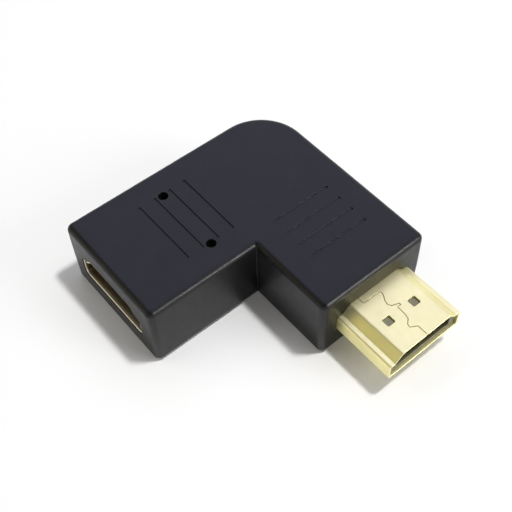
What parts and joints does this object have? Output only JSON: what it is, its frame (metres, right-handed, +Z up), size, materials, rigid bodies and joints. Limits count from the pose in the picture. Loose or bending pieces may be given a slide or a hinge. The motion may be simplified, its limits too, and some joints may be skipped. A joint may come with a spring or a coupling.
{
  "type": "right angle audio video adapter",
  "caption": "Flat L-shaped adapter: a gold-plated digital video plug on one moulded arm and the matching socket on the other, joined at a right angle.",
  "frame": {"origin": "on the flat underside, straight below the point where the plug's and the socket's axes cross", "axes": "+X along the plug's axis, out of its tip; -Y out of the socket's mouth; +Z up, towards the narrow face of both connectors"},
  "size_m": [0.0457, 0.0383, 0.0122],
  "materials": {
    "black_moulded_plastic": "black flexible vinyl with a fine spark-eroded texture",
    "black_core_plastic": "black polyolefin, as moulded",
    "green_board": "glass-filled epoxy board with green lacquer",
    "gold_plated_sheet": "bright gold plating on folded sheet",
    "gold_plated_contacts": "gold plating on stamped spring strip",
    "black_insulator": "black glass-filled plastic, smooth as moulded"
  },
  "bodies": {
    "root": {"outer_mould": "black_moulded_plastic", "inner_mould": "black_core_plastic", "circuit_board": "green_board", "plug_shell": "gold_plated_sheet", "socket_shell": "gold_plated_sheet", "plug_insulator": "black_insulator", "socket_insulator": "black_insulator", "plug_contact_01": "gold_plated_contacts", "plug_contact_02": "gold_plated_contacts", "plug_contact_03": "gold_plated_contacts", "plug_contact_04": "gold_plated_contacts", "plug_contact_05": "gold_plated_contacts", "plug_contact_06": "gold_plated_contacts", "plug_contact_07": "gold_plated_contacts", "plug_contact_08": "gold_plated_contacts", "plug_contact_09": "gold_plated_contacts", "plug_contact_10": "gold_plated_contacts", "plug_contact_11": "gold_plated_contacts", "plug_contact_12": "gold_plated_contacts", "plug_contact_13": "gold_plated_contacts", "plug_contact_14": "gold_plated_contacts", "plug_contact_15": "gold_plated_contacts", "plug_contact_16": "gold_plated_contacts", "plug_contact_17": "gold_plated_contacts", "plug_contact_18": "gold_plated_contacts", "plug_contact_19": "gold_plated_contacts", "socket_contact_01": "gold_plated_contacts", "socket_contact_02": "gold_plated_contacts", "socket_contact_03": "gold_plated_contacts", "socket_contact_04": "gold_plated_contacts", "socket_contact_05": "gold_plated_contacts", "socket_contact_06": "gold_plated_contacts", "socket_contact_07": "gold_plated_contacts", "socket_contact_08": "gold_plated_contacts", "socket_contact_09": "gold_plated_contacts", "socket_contact_10": "gold_plated_contacts", "socket_contact_11": "gold_plated_contacts", "socket_contact_12": "gold_plated_contacts", "socket_contact_13": "gold_plated_contacts", "socket_contact_14": "gold_plated_contacts", "socket_contact_15": "gold_plated_contacts", "socket_contact_16": "gold_plated_contacts", "socket_contact_17": "gold_plated_contacts", "socket_contact_18": "gold_plated_contacts", "socket_contact_19": "gold_plated_contacts"}
  },
  "joints": []
}
